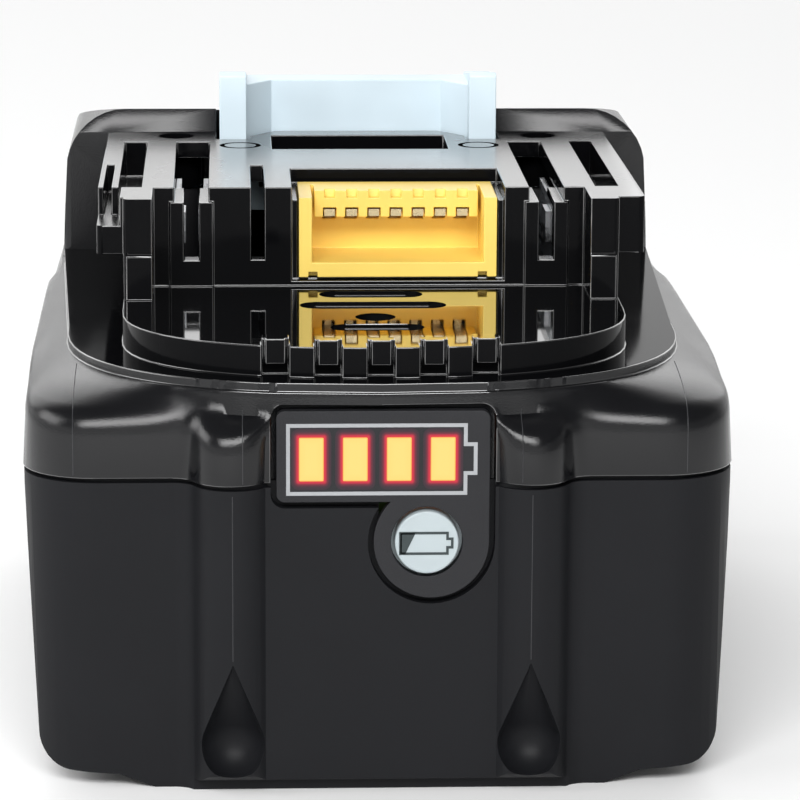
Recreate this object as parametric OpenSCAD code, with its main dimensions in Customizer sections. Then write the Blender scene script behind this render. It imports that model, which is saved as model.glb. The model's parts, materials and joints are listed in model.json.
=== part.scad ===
// Slide-on battery pack for a cordless hand tool. Millimetres, +Z up.
// The terminal end faces -Y and the release button faces +Y.
// Shapes are drawn by distance behind the front plane, then set about the middle.

/* [Case] */
// overall length, front pillars to rear wall
length = 115; // [114:0.5:118]
// overall width at the skirt
width = 76; // [75.6:0.2:77.6]
// shell wall thickness
wall = 2.2; // [2:0.1:2.4]
// thickness of the bottom of the lower shell
base_wall = 1.6; // [1.4:0.1:1.8]
// height of the raised foot under the case
foot_rise = 1.2; // [0.8:0.1:1.4]
// distance from the glossy floor down to the level where the two shells meet
parting_drop = 10.5; // [10.2:0.1:10.8]
// how far each side leans in from the parting level to the bottom
side_lean = 1.4; // [1:0.1:1.5]
// radius along the bottom edges of the sides
bottom_round = 3.6; // [3.4:0.1:3.8]
// radius of the upright corners
corner_round = 8; // [7.5:0.25:8.5]
// radius of the two front pillars
pillar_round = 4.2; // [4:0.1:4.3]
// distance of each pillar from the middle
pillar_offset = 15.7; // [15.5:0.1:15.9]

/* [Rails] */
// room between the cells and the glossy floor beside the rails
board_room = 3.7; // [3.7:0.1:4.2]
// height of the front plate above the floor
plate_rise = 3.3; // [3:0.1:3.5]
// height of the deck above the floor
deck_rise = 14.6; // [14.5:0.1:15]
// height of the free groove under each rail lip
groove_height = 8.2; // [8:0.1:8.6]
// half width of the neck that carries the rails
neck_half = 27.6; // [27.4:0.1:27.8]
// how far each lip stands out from the neck
lip_reach = 3; // [2.8:0.1:3.2]
// distance from the front to the ends of the rails
rail_front = 32.4; // [31.8:0.2:33]
// distance from the front to the face with the terminals
block_front = 40.7; // [40.4:0.1:41]
// distance from the front to the hump
hump_front = 83.6; // [83.4:0.1:84]
// height of the hump above the deck
hump_rise = 2.7; // [2.5:0.1:2.9]

/* [Terminals] */
// distance of each power slot from the middle
slot_offset = 20.1; // [20:0.1:20.3]
// width of each power slot at the deck
slot_width = 3.9; // [3.8:0.05:3.95]
// width of the connector block
connector_width = 22.5; // [22.3:0.1:22.7]
// height of the connector block
connector_height = 9.15; // [9:0.05:9.3]
// how far the connector sits to the right of the middle
connector_shift = 3.3; // [3.2:0.1:3.4]
// number of signal contacts
contact_count = 7; // [5:1:7]
// distance between signal contacts
contact_pitch = 2.54; // [2.5:0.02:2.6]

/* [Latch] */
// width of the latch across its posts
latch_width = 33.8; // [33.4:0.2:34.2]
// height of the latch above the deck
latch_rise = 8.1; // [7.8:0.1:8.4]
// travel of the latch when the button is pressed
latch_travel = 6.5; // [6:0.1:6.6]
// wire thickness of the latch springs
spring_wire = 0.5; // [0.4:0.05:0.5]
// turns in each latch spring
spring_turns = 6; // [5:1:7]

/* [Gauge] */
// width of the gauge panel
panel_width = 22.4; // [22:0.1:22.6]
// height of the wide part of the gauge panel
panel_height = 9.8; // [9.6:0.1:10]
// diameter of the check button
button_diameter = 6.74; // [6.5:0.06:6.8]
// travel of the check button
button_travel = 0.5; // [0.4:0.05:0.5]
// number of light windows
light_count = 4; // [3:1:4]
// distance between light windows
light_pitch = 4.6; // [4.56:0.01:4.64]

/* [Cells] */
// gap between cell columns
column_gap = 1.2; // [1.1:0.05:1.3]
// gap between the two rows of cells
row_gap = 0.6; // [0.5:0.05:0.7]
// room between the front wall and the cells
front_room = 3.7; // [3.6:0.05:3.9]
// room between the cells and the rear wall, for the latch springs
rear_room = 5.4; // [5.2:0.05:5.4]
// room between each cell end and the side wall
end_room = 2.6; // [2.5:0.05:2.8]

/* [Fits] */
// gap around moving pieces
slide_gap = 0.4; // [0.35:0.05:0.45]
// gap around pieces that are set in place
seat_gap = 0.12; // [0.1:0.01:0.15]

/* [Hidden] */
$fn = 48;
eps = 0.01;
half = width / 2;
skirt_half = half - 0.3;
outer_half = half - 0.1;
case_half = half - 0.6;
panel_front = pillar_round;
inner_front = panel_front + wall + 0.1;
inner_back = length - 0.4 - wall;
inner_low = foot_rise + base_wall;
column_count = 5;
stack_room = inner_back - rear_room - inner_front - front_room;
cell_diameter = (stack_room - (column_count - 1) * column_gap) / column_count;
cell_length = 2 * (case_half - wall - end_room);
cell_round = cell_diameter / 2;
column_pitch = cell_diameter + column_gap;
row_pitch = cell_diameter + row_gap;
cell_low = inner_low + 0.4 + cell_round;
cell_first = inner_front + front_room + cell_round;
cell_top = cell_low + row_pitch + cell_round;
stack_back = cell_first + (column_count - 1) * column_pitch + cell_round;
cell_end = cell_length / 2;
floor_level = cell_top + board_room;
parting = floor_level - parting_drop;
deck = floor_level + deck_rise;
plate_top = floor_level + plate_rise;
lip_low = floor_level + groove_height;
lip_half = neck_half + lip_reach;
strip_half = neck_half - 3.2;
hump_top = deck + hump_rise;
hump_back = hump_top - 4;
latch_top = deck + latch_rise;
middle_front = 1.8;
floor_under = floor_level - wall;
gauge_x = 0.1;
gauge_z = parting + 2.8;
lobe_x = 5.2;
lobe_z = gauge_z - 9.2;
lobe_round = gauge_x + panel_width / 2 - lobe_x;
knob_x = 4.7;
button_round = button_diameter / 2;
tooth_pitch = 5.56;
light_width = 2.62;
light_height = 4.7;
light_x = gauge_x - 0.64;
light_z = gauge_z - 0.25;
gauge_board_t = inner_front + 0.9;
strap_thick = 0.15;
strap_out = cell_end + strap_thick;
board_low = floor_under + 1.2;
board_thick = 1.6;
board_top = board_low + board_thick;
board_front = block_front + wall + 1.4;
board_back = board_front + 29;
connector_low = plate_top + 0.85;
sense_x = -12.6;
connector_top = connector_low + connector_height;
connector_front = block_front + 0.5;
connector_back = connector_front + 11.6;
latch_front = hump_front - 5.4;
latch_half = latch_width / 2;
bar_front = latch_front + 7;
latch_back = bar_front + 4.8;
arm_low = deck - 10;
// level of the ceiling of the hump behind the latch, less the gap at rest
stop_t = latch_back + slide_gap + 4.2;
stop_high = hump_top - 2.2 - 3.8 * (stop_t - hump_front) / (inner_back - 3 - hump_front) - 0.3;
skirt_low = parting + 3.4;
skirt_front = stack_back + 2.9;
skirt_back = inner_back - slide_gap;
spring_round = (skirt_back - stack_back - 1.2) / 2 - spring_wire / 2 - 0.02;
spring_t = skirt_back - spring_round - spring_wire / 2;
spring_x = 12;
spring_low = parting - 10.4;
spring_high = skirt_low - 0.6;
well_x = 22.2;
well_t = hump_front - 3.1;
well_round = 2.2;
well_low = deck - 4.6;
screw_x = cell_end - 4.1;
screw_t = [cell_first + column_pitch / 2, cell_first + 3.5 * column_pitch];

// sets a shape drawn from the front plane about the middle of the pack
module about_middle() {
    translate([0, -length / 2, 0])
    children();
}

// points along a circular arc
function arc(x, y, r, a, b, n) =
    [for (i = [0:n]) [x + r * cos(a + (b - a) * i / n), y + r * sin(a + (b - a) * i / n)]];

// the right half of an outline with its mirror image
function both(p) = concat(p, [for (i = [len(p) - 1:-1:0]) if (p[i][0] > 0) [-p[i][0], p[i][1]]]);

// flat rounded rectangle about its own middle
module soft_square(w, h, r) {
    square([w - 2 * r, h], center = true);
    square([w, h - 2 * r], center = true);
    for (sx = [-1, 1])
        for (sy = [-1, 1])
            translate([sx * (w / 2 - r), sy * (h / 2 - r)])
            circle(r);
}

// upright prism from level low to level high
module upright(low, high) {
    translate([0, 0, low])
    linear_extrude(high - low)
    children();
}

// prism of a front view outline, from distance near to distance far
module through(near, far) {
    translate([0, far, 0])
    rotate([90, 0, 0])
    linear_extrude(far - near)
    children();
}

// prism of a side view outline, from x = left to x = right
module across(left, right) {
    translate([left, 0, 0])
    rotate([90, 0, 90])
    linear_extrude(right - left)
    children();
}

// box given by its two opposite corners
module block(a, b) {
    translate(a)
    cube(b - a);
}

// plan of a box with rounded corners, front radius rf and rear radius rb
module case_plan(h, near, far, rf, rb) {
    polygon(both(concat([[0, near]], arc(h - rf, near + rf, rf, -90, 0, 10),
        arc(h - rb, far - rb, rb, 0, 90, 10), [[0, far]])));
}

// half of the front line: middle panel, pillar and the hollow curve beside the pillar
hollow = 2.5;
pillar_span = pillar_round + hollow;
pillar_reach = sqrt(pillar_span * pillar_span - hollow * hollow);
pillar_lean = asin(hollow / pillar_span);
pillar_inner = asin((panel_front - middle_front) / pillar_round);
front_points = concat([[0, middle_front]],
    arc(pillar_offset, panel_front, pillar_round, pillar_inner - 180, -pillar_lean, 12),
    arc(pillar_offset + pillar_reach, panel_front - hollow, hollow, 180 - pillar_lean, 90, 5));

// plan of the whole case with its raised middle and pillars
module full_plan(h, far) {
    polygon(both(concat(front_points,
        arc(h - corner_round, panel_front + corner_round, corner_round, -90, 0, 10),
        arc(h - corner_round - 1, far - corner_round - 1, corner_round + 1, 0, 90, 10), [[0, far]])));
}

// front view of a shell with leaning sides, rounded lower edges and a bottom raised at the sides
module lean_view(top_half, low_half, low, high, r, rise) {
    span = 13;
    slope = atan(rise / (span - r));
    polygon(both(concat([[0, low], [low_half - span, low]],
        arc(low_half - r, low + rise + r, r, slope - 90, 0, 8), [[top_half, high], [0, high]])));
}

// side view that rounds the front and rear bottom edges
module side_view(low, high) {
    r = 3;
    polygon(concat(arc(r, low + r, r, 180, 270, 6), arc(length - 0.4 - r, low + r, r, -90, 0, 6),
        [[length - 0.4, high], [0, high]]));
}

// front view of the gauge panel, grown by g
module gauge_view(g) {
    translate([gauge_x, gauge_z])
    soft_square(panel_width + 2 * g, panel_height + 2 * g, 0.9 + g);
    translate([lobe_x, lobe_z])
    circle(lobe_round + g);
    translate([lobe_x, lobe_z])
    square([lobe_round + g, gauge_z - lobe_z]);
}

// the seat of the gauge panel and the window behind it
module gauge_seat() {
    through(0, 3.3)
    gauge_view(0.6);
    through(3, inner_front + 0.3) {
        translate([gauge_x, gauge_z])
        square([panel_width - 2.6, panel_height - 2.4], center = true);
        translate([knob_x, lobe_z])
        circle(5);
        translate([knob_x - 5, lobe_z])
        square([10, gauge_z - lobe_z]);
    }
    block([-12.2, 4.6, lobe_z - 6.4], [12.6, inner_front + 0.3, floor_under]);
}

// drop-shaped hollow at the foot of a pillar: a ball below a cone that meets it smoothly
module foot_hollow(s) {
    r = 3.5;
    tall = 9.3;
    side = asin(r / tall);
    translate([s * pillar_offset, 0.7, foot_rise + 4.2])
    rotate([4, 0, 0]) {
        sphere(r);
        translate([0, 0, r * sin(side)])
        cylinder(r1 = r * cos(side), r2 = 0, h = tall - r * sin(side));
    }
}

// inner space of the lower shell
module lower_space() {
    intersection() {
        upright(inner_low, parting + 1)
        case_plan(case_half - wall, inner_front, inner_back, corner_round - wall, corner_round - wall);
        through(0, length)
        lean_view(case_half - wall, case_half - side_lean + 0.2 - wall, inner_low, parting + 1, 2.6, 0);
    }
}

// shelf that carries one latch spring
module spring_shelf(s) {
    block([s * spring_x - 2.6, spring_t - spring_round - 0.6, spring_low - 2],
        [s * spring_x + 2.6, inner_back + 0.5, spring_low]);
    translate([s * spring_x, spring_t, spring_low - eps])
    cylinder(r = spring_round - spring_wire - 0.35, h = 2.5);
}

module lower_case() {
    color("#26272a")
    about_middle()
    union() {
        difference() {
            union() {
                intersection() {
                    upright(foot_rise, parting)
                    full_plan(outer_half, length - 0.4);
                    through(0, length)
                    lean_view(outer_half, outer_half - side_lean, foot_rise, parting, bottom_round, 0.6);
                    across(-half, half)
                    side_view(foot_rise, parting);
                }
                intersection() {
                    through(3.2, length - 9)
                    polygon([[-24, 0], [24, 0], [28, foot_rise + 0.3], [-28, foot_rise + 0.3]]);
                    upright(-1, foot_rise + 1)
                    full_plan(case_half - 2, length - 0.4);
                }
            }
            lower_space();
            gauge_seat();
            // shadow groove under the skirt
            upright(parting - 0.45, parting + 1)
            difference() {
                translate([-half, -1])
                square([width, length + 2]);
                translate([0, length / 2])
                scale(0.985)
                translate([0, -length / 2])
                full_plan(outer_half, length - 0.4);
            }
            foot_hollow(-1);
            foot_hollow(1);
            for (s = [-1, 1])
                for (t = screw_t)
                    translate([s * screw_x, t, foot_rise - 1])
                    union() {
                        cylinder(r = 1.5, h = 5);
                        cylinder(r = 2.6, h = 2);
                    }
        }
        spring_shelf(-1);
        spring_shelf(1);
    }
}

// outline points of the skirt, right half, from the front middle to the rear middle
corner_step = 9;
flank_step = 5;
side_step = 12;
rear_step = 8;
corner_mid = skirt_half - corner_round;
flank_start = pillar_offset + pillar_reach;
flank_points = concat(front_points,
    [for (i = [1:flank_step - 1]) [flank_start + (corner_mid - flank_start) * i / flank_step, panel_front]]);
skirt_points = concat(flank_points,
    arc(corner_mid, panel_front + corner_round, corner_round, -90, 0, corner_step),
    [for (i = [1:side_step]) [skirt_half, panel_front + corner_round
        + (hump_front - panel_front - corner_round) * i / side_step]],
    arc(skirt_half - corner_round - 1, length - corner_round - 1, corner_round + 1, 0, 90, rear_step),
    [[0, length]]);

// outline points of the floor edge that match the skirt points
rim_half = skirt_half - 3.5;
rim_mid = 34.5;
rim_power = 2.57;
function rim_line(x) = rim_mid - (rim_mid - middle_front - 0.1)
    * pow(max(0, 1 - pow(x / rim_half, rim_power)), 1 / rim_power);
rim_split = rim_half - 7.5;
rim_points = concat(
    [for (p = flank_points) let (x = p[0] * rim_split / corner_mid) [x, rim_line(x)]],
    [for (i = [0:corner_step]) let (x = rim_split + 7.5 * sin(90 * i / corner_step)) [x, rim_line(x)]],
    [for (i = [1:side_step])
        [rim_half + 2.3 * i / side_step, rim_mid + (hump_front - rim_mid) * i / side_step]],
    arc(skirt_half - corner_round - 1, length - corner_round - 1, corner_round, 0, 90, rear_step),
    [[0, length - 1]]);

// level where the upright skirt begins to turn in, lower towards the front and beside the hump
function turn_level(t) = floor_level - 5.95 - 1.35 * max(0, 1 - t / panel_front)
    + 4 * pow(max(0, min(1, (t - panel_front) / 22)), 1.5)
    - 5 * pow(max(0, min(1, (t - hump_front + 14) / 20)), 1.5);
skirt_ring = both(skirt_points);
rim_ring = both(rim_points);
ring_count = len(skirt_ring);
// rings of the shoulder: way in of the rounded edge in mm, share of the rest of the way to the floor edge,
// share of the whole way on a pillar, and share of the way up
shoulder_curve = [[0, 0, 0, 0], [0.05, 0, 0.02, 0.1], [0.18, 0, 0.07, 0.2], [0.41, 0, 0.16, 0.3],
    [0.76, 0, 0.32, 0.4], [1.2, 0.01, 0.6, 0.5], [1.7, 0.06, 0.95, 0.6], [2.5, 0.35, 0.98, 0.8],
    [2.8, 0.62, 0.99, 0.9], [3, 1, 1, 1]];
function way_in(reach, t, c) = let (near = min(1, reach / 3), pillar = max(0, 1 - t / panel_front))
    (1 - pillar) * (near * c[0] + (reach - 3 * near) * c[1]) / reach + pillar * c[2];
// the floor edge stands up as a low bead behind a narrow ledge
ledge_level = floor_level - 0.95;
bead_ring = [for (q = rim_ring) [q[0] * 0.991, length / 2 + (q[1] - length / 2) * 0.994]];
shoulder_points = concat(
    [for (p = skirt_ring) [p[0] * half / skirt_half, p[1], parting]],
    [for (c = shoulder_curve) for (i = [0:ring_count - 1])
        let (p = skirt_ring[i], q = rim_ring[i], z = turn_level(p[1]), w = way_in(norm(q - p), p[1], c))
        [p[0] + (q[0] - p[0]) * w, p[1] + (q[1] - p[1]) * w, z + (ledge_level - z) * c[3]]],
    [for (z = [ledge_level, floor_level]) for (q = bead_ring) [q[0], q[1], z]]);
ring_total = len(shoulder_curve) + 3;
skin_points = concat(shoulder_points, [[0, length / 2, parting], [0, length / 2, floor_level]]);
skin_low = len(shoulder_points);
shoulder_faces = concat(
    [for (i = [0:ring_count - 1]) [skin_low, i, (i + 1) % ring_count]],
    [for (k = [0:ring_total - 2]) for (i = [0:ring_count - 1])
        let (a = k * ring_count + i, b = k * ring_count + (i + 1) % ring_count)
        [a, a + ring_count, b]],
    [for (k = [0:ring_total - 2]) for (i = [0:ring_count - 1])
        let (a = k * ring_count + i, b = k * ring_count + (i + 1) % ring_count)
        [b, a + ring_count, b + ring_count]],
    [for (i = [0:ring_count - 1])
        let (k = (ring_total - 1) * ring_count)
        [skin_low + 1, k + (i + 1) % ring_count, k + i]]);

// height of the wall under the sloping shoulder
shoulder_wall = 1.2;
// skirt and shoulder of the upper shell as one skin
module shoulder() {
    polyhedron(skin_points, shoulder_faces, convexity = 6);
}

// plan of the front plate with its bowed front
plate_front = 5;
plate_back = 26.3;
plate_power = 2.4;
function plate_line(x) = plate_back - (plate_back - plate_front)
    * pow(max(0, 1 - pow(x / neck_half, plate_power)), 1 / plate_power);
module plate_plan() {
    polygon(both(concat([for (i = [0:16]) let (x = neck_half * sin(90 * i / 16)) [x, plate_line(x)]],
        [[neck_half, hump_front], [0, hump_front]])));
}

// moves a shape to the place of tooth number k on the front edge of the plate
module at_tooth(k) {
    translate([tooth_pitch * k, plate_line(abs(tooth_pitch * k)), plate_top])
    children();
}

// front plate with a notch for each tooth, and the teeth, which leave the foot of each notch open
tooth_half = 1.45;
module front_plate() {
    difference() {
        upright(floor_level - 1, plate_top)
        plate_plan();
        for (k = [-2:2])
            at_tooth(k)
            block([-tooth_half, -1, -plate_rise], [tooth_half, 1.8, 1]);
    }
    for (k = [-2:2])
        at_tooth(k) {
            block([0.4 - tooth_half, 0.15, -1.95], [tooth_half - 0.4, 2, 0.7]);
            block([-tooth_half, 0.7, -1.95], [tooth_half, 2.8, 0.7]);
        }
}

// hump behind the deck, with a sloping top and rounded sides
hump_half = half - 1.7;
hump_round = 7.2;
module hump() {
    intersection() {
        upright(floor_level - 1, hump_top + 1)
        case_plan(hump_half, hump_front, length, 1, corner_round + 1);
        through(hump_front, length)
        polygon(both(concat(
            [[0, floor_level - 1], [hump_half, floor_level - 1], [hump_half - 0.3, floor_level + 6]],
            arc(hump_half - 0.5 - hump_round, hump_top - hump_round, hump_round, 10, 90, 8),
            [[0, hump_top]])));
        across(-half, half)
        polygon(concat([[hump_front, floor_level - 1], [hump_front, deck], [hump_front + 1.6, hump_top]],
            arc(length - 6, hump_back - 6, 6, 82, 0, 6), [[length, floor_level - 1]]));
    }
}

// plan of one rail strip or lip with a rounded outer front corner, right side
module rail_plan(inner, outer, near, far, r) {
    polygon(concat([[inner, near]], arc(outer - r, near + r, r, -90, 0, 5), [[outer, far], [inner, far]]));
}

// long hollow in the top of a rail lip
module lip_hollow(s) {
    block([min(s * 25.7, s * 28.3), block_front + 0.4, deck - 4.2],
        [max(s * 25.7, s * 28.3), hump_front - 8, deck + 1]);
}

// power slot: a low step in front, a pit behind it and a narrow slit for the blade
module power_slot(x) {
    block([x - slot_width / 2, block_front - 1, deck - 1.65],
        [x + slot_width / 2, block_front + 10, deck + 1]);
    block([x - slot_width / 2, block_front + 9.8, deck - 6], [x + slot_width / 2, hump_front - 8, deck + 1]);
    block([x - 0.85, block_front - 1, plate_top + 3], [x + 0.85, hump_front - 9, deck]);
}

module upper_case() {
    color("#141416")
    about_middle()
    difference() {
        union() {
            difference() {
                union() {
                    shoulder();
                    hump();
                    front_plate();
                    block([-neck_half, block_front, floor_level - 1], [neck_half, hump_front + 1, deck]);
                    for (s = [0, 1])
                        mirror([s, 0, 0]) {
                            upright(floor_level, deck)
                            rail_plan(strip_half, neck_half, rail_front, block_front + 1, 0.7);
                            upright(lip_low, deck)
                            rail_plan(strip_half, lip_half, rail_front + 1.4, hump_front + 1, 0.7);
                            // thicker foot of the strip
                            across(strip_half, neck_half - 0.3)
                            polygon([[rail_front - 0.4, plate_top - 1], [rail_front - 0.4, lip_low],
                                [rail_front, lip_low + 0.4], [rail_front + 1, lip_low + 0.4],
                                [rail_front + 1, plate_top - 1]]);
                            // collar around the power slot
                            block([slot_offset - slot_width / 2 - 0.5, block_front - 0.45, plate_top - 1],
                                [slot_offset + slot_width / 2 + 0.5, block_front + 1, deck - 1.65]);
                        }
                }
                intersection() {
                    upright(parting - 1, floor_under)
                    case_plan(case_half - wall + 0.2, inner_front, inner_back,
                        corner_round - wall, corner_round - wall);
                    translate([0, 0, -shoulder_wall])
                    shoulder();
                }
                block([-strip_half + 1, block_front + wall, parting],
                    [strip_half - 1, hump_front + 4, deck - 2]);
                intersection() {
                    upright(parting, hump_top - 2)
                    case_plan(hump_half - 6, hump_front + wall, inner_back, 1, corner_round + 1 - wall);
                    across(-half, half)
                    polygon([[hump_front, parting], [hump_front, hump_top - 2.2],
                        [inner_back - 3, hump_back - 2],
                        [inner_back, hump_back - 6], [inner_back, parting]]);
                }
            }
            for (s = [-1, 1])
                translate([s * well_x, well_t, well_low - 1.4])
                cylinder(r = well_round + 1, h = deck - well_low);
            block([-12.2, latch_front - 10, deck - 4.4], [12.2, bar_front - slide_gap, deck - 1]);
            // thicker deck under the steps of the power slots and around the connector
            for (s = [-1, 1])
                block([s * slot_offset - slot_width / 2 - 0.6, block_front + 1, deck - 2.6],
                    [s * slot_offset + slot_width / 2 + 0.6, block_front + 10.6, deck - 1.7]);
            block([connector_shift - connector_width / 2 - 1.6, block_front + 1, deck - 3.3],
                [connector_shift + connector_width / 2 + 1.6, connector_back + 2.6, deck - 1]);
            // walls around the latch in the hump
            intersection() {
                hump();
                block([-latch_half - slide_gap - 1.6, hump_front, arm_low + 3.6],
                    [latch_half + slide_gap + 1.6, latch_back + slide_gap + 1.6, hump_top + 1]);
            }
        }
        gauge_seat();
        // shallow plain marks on the plate
        for (m = [[35.3, 11.6, 4], [28.8, 16.2, 4], [16.1, 10.1, 3.6]])
            translate([0, m[0], plate_top - 0.5])
            linear_extrude(1)
            soft_square(m[1], m[2], m[2] / 2 - 0.1);
        translate([0, 21.9, plate_top - 0.5])
        cylinder(r = 2.2, h = 1);
        // opening of the connector, open to the deck
        block([connector_shift - connector_width / 2 - seat_gap, block_front - 1, connector_low - seat_gap],
            [connector_shift + connector_width / 2 + seat_gap, connector_back + seat_gap,
                connector_top + seat_gap]);
        block([connector_shift - connector_width / 2 - 0.8, block_front - 1, connector_low - 0.3],
            [connector_shift + connector_width / 2 + 0.8, block_front + 1.4, deck + 1]);
        block([connector_shift - connector_width / 2 - 0.8, block_front - 1, connector_top - 0.4],
            [connector_shift + connector_width / 2 + 0.8, connector_back + 1.6, deck + 1]);
        power_slot(-slot_offset);
        power_slot(slot_offset);
        // slot of the sense blade
        block([sense_x - 0.75, block_front - 1, plate_top + 3], [sense_x + 0.75, 57, deck + 1]);
        lip_hollow(-1);
        lip_hollow(1);
        // low front of the left lip and the thin wall behind it
        block([-lip_half - 1, rail_front, deck - 3.2], [-neck_half - 0.4, block_front + 0.4, deck + 1]);
        block([-lip_half + 0.6, block_front, deck - 3.2], [-lip_half + 1.5, block_front + 17, deck + 1]);
        // opening of the latch and the hollow in front of it
        upright(arm_low - latch_travel, hump_top + 1)
        latch_plan(slide_gap);
        block([-latch_half - slide_gap, hump_front - 0.2, deck],
            [latch_half + slide_gap, latch_back, hump_top + 1]);
        block([-10.6, latch_front - 8.6, deck - 3], [10.6, latch_front + 2.8, deck + 1]);
        // screw wells and round marks beside the latch
        for (s = [-1, 1]) {
            translate([s * well_x, well_t, well_low])
            cylinder(r = well_round, h = 12);
            translate([s * well_x, well_t, well_low - 3])
            cylinder(r = 1.5, h = 4);
            translate([s * well_x, well_t, parting])
            cylinder(r = 3.1, h = well_low - 1.4 - parting);
            translate([s * 14.4, latch_front - 5.5, deck - 0.4])
            difference() {
                cylinder(r = 2.5, h = 1);
                cylinder(r = 1.9, h = 1);
            }
        }
        // opening of the release button
        block([-18.5, skirt_front - slide_gap, skirt_low], [18.5, length + 1, hump_back - 3.6]);
        // way for the spring feet of the button
        block([-21.6, stack_back + 1, parting - 1], [21.6, inner_back, floor_level + 6]);
    }
}

// one countersunk-free screw with its head at the bottom
module plain_screw(head, shank, head_high, reach) {
    difference() {
        cylinder(r = head, h = head_high);
        translate([0, 0, -eps])
        cylinder(r = head * 0.45, h = head_high * 0.6, $fn = 6);
    }
    translate([0, 0, head_high - eps])
    cylinder(r = shank, h = reach);
}

module case_screws() {
    color("#5a5c60")
    about_middle()
    for (s = [-1, 1])
        for (t = screw_t)
            translate([s * screw_x, t, foot_rise + 0.2])
            plain_screw(2.2, 1.05, 0.8, 6);
}

module deck_screws() {
    color("#5a5c60")
    about_middle()
    for (s = [-1, 1])
        translate([s * well_x, well_t, well_low + 1.6])
        rotate([180, 0, 0])
        plain_screw(2, 1.05, 1.6, 8);
}

module gauge_panel() {
    color("#33343a")
    about_middle()
    difference() {
        through(1.9, 3.2)
        gauge_view(0);
        for (k = [0:light_count - 1])
            translate([light_x + (k - (light_count - 1) / 2) * light_pitch, 0, light_z])
            through(1, 4)
            square([light_width + 2 * seat_gap, light_height + 2 * seat_gap], center = true);
        translate([knob_x, 0, lobe_z])
        through(1, 4)
        circle(button_round + slide_gap);
    }
}

module gauge_windows() {
    color("#ffb040")
    about_middle()
    for (k = [0:light_count - 1])
        translate([light_x + (k - (light_count - 1) / 2) * light_pitch, 0, light_z])
        through(1.8, gauge_board_t - 1.6)
        square([light_width, light_height], center = true);
}

module check_button() {
    color("#eef0f2")
    about_middle()
    translate([knob_x, 0, lobe_z]) {
        through(1.5, 3.7)
        circle(button_round);
        through(3.6, 4.3)
        circle(button_round + 0.9);
        through(4.2, gauge_board_t - 2.4)
        circle(1.2);
    }
}

module switch_plunger() {
    color("#202124")
    about_middle()
    translate([knob_x, 0, lobe_z])
    through(gauge_board_t - 2.4, gauge_board_t - 0.9)
    circle(0.9);
}

module check_switch() {
    color("#8d9094")
    about_middle()
    translate([knob_x, 0, lobe_z])
    difference() {
        through(gauge_board_t - 1.5, gauge_board_t)
        square([4.6, 4.6], center = true);
        through(gauge_board_t - 1.9, gauge_board_t - 0.3)
        circle(1.3);
    }
}

module gauge_board() {
    color("#1f5a38")
    about_middle()
    block([-11, gauge_board_t, lobe_z - 4.6], [11.6, gauge_board_t + 1, gauge_z + 4.4]);
}

module gauge_lights() {
    color("#e6e2d8")
    about_middle()
    for (k = [0:light_count - 1])
        translate([light_x + (k - (light_count - 1) / 2) * light_pitch, 0, light_z])
        through(gauge_board_t - 1.2, gauge_board_t)
        square([1.6, 3.2], center = true);
}

module gauge_cable() {
    color("#c9c4b4")
    about_middle()
    difference() {
        across(-4, 4)
        polygon([[gauge_board_t + 1, gauge_z + 3.4], [gauge_board_t + 1.3, gauge_z + 3.4],
            [gauge_board_t + 1.3, cell_top + 0.6], [board_front + 3, cell_top + 0.6],
            [board_front + 3, board_low], [board_front + 2.7, board_low], [board_front + 2.7, cell_top + 0.9],
            [gauge_board_t + 1, cell_top + 0.9]]);
    }
}

// plan of the latch with its two ears, grown by g
module latch_plan(g) {
    polygon(both([[0, bar_front - g], [latch_half - 6.4 - g, bar_front - g],
        [latch_half - 3.3 - g, bar_front - 4.4 - g],
        [latch_half - 3.3 - g, latch_front - g], [latch_half + g, latch_front - g],
        [latch_half + g, latch_back + g],
        [0, latch_back + g]]));
}

module latch_hook() {
    color("#e9edf0")
    about_middle()
    difference() {
        union() {
            // two ears and the lower bar between them
            intersection() {
                upright(deck - 3, latch_top)
                latch_plan(0);
                across(-half, half)
                polygon([[latch_front, deck - 3], [latch_front, latch_top - 0.5],
                    [latch_front + 0.5, latch_top],
                    [latch_back - 1.5, latch_top], [latch_back, latch_top - 1.5], [latch_back, deck - 3]]);
            }
            // post under the bar and the arm that reaches back to the button
            block([-latch_half, bar_front, arm_low], [latch_half, latch_back, deck]);
            block([-15.6, bar_front, arm_low], [15.6, skirt_front + 0.6, arm_low + 3]);
            // stop that meets the inside of the hump at rest
            block([-15.6, latch_back + slide_gap + 2.4, arm_low],
                [15.6, latch_back + slide_gap + 4.2, stop_high]);
        }
        // low top of the bar between the ears
        block([-latch_half + 3.3, latch_front - 1, latch_top - 1.8],
            [latch_half - 3.3, latch_back + 1, latch_top + 1]);
        // hollow under the arm
        block([-12, latch_back + 5, arm_low - 1], [12, skirt_front - 3, arm_low + 1.2]);
    }
}

module release_button() {
    color("#1d1e20")
    about_middle()
    difference() {
        union() {
            block([-18, skirt_front, hump_back - 13], [18, length - 0.4, hump_back - 4]);
            block([-21, skirt_front, skirt_low - 0.6], [21, skirt_back, hump_back - 6]);
            for (k = [0:3])
                block([-13, length - 1, hump_back - 12.4 + 2 * k], [13, length, hump_back - 11.5 + 2 * k]);
            for (s = [-1, 1])
                block([s * spring_x - 2.4, spring_t - spring_round - 0.3, skirt_low - 0.6],
                    [s * spring_x + 2.4, skirt_back, skirt_low + 2]);
        }
        // seat for the end of the latch arm
        block([-15.6 - seat_gap, skirt_front - 1, arm_low - seat_gap],
            [15.6 + seat_gap, skirt_front + 0.6 + seat_gap, arm_low + 3 + seat_gap]);
    }
}

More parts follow.
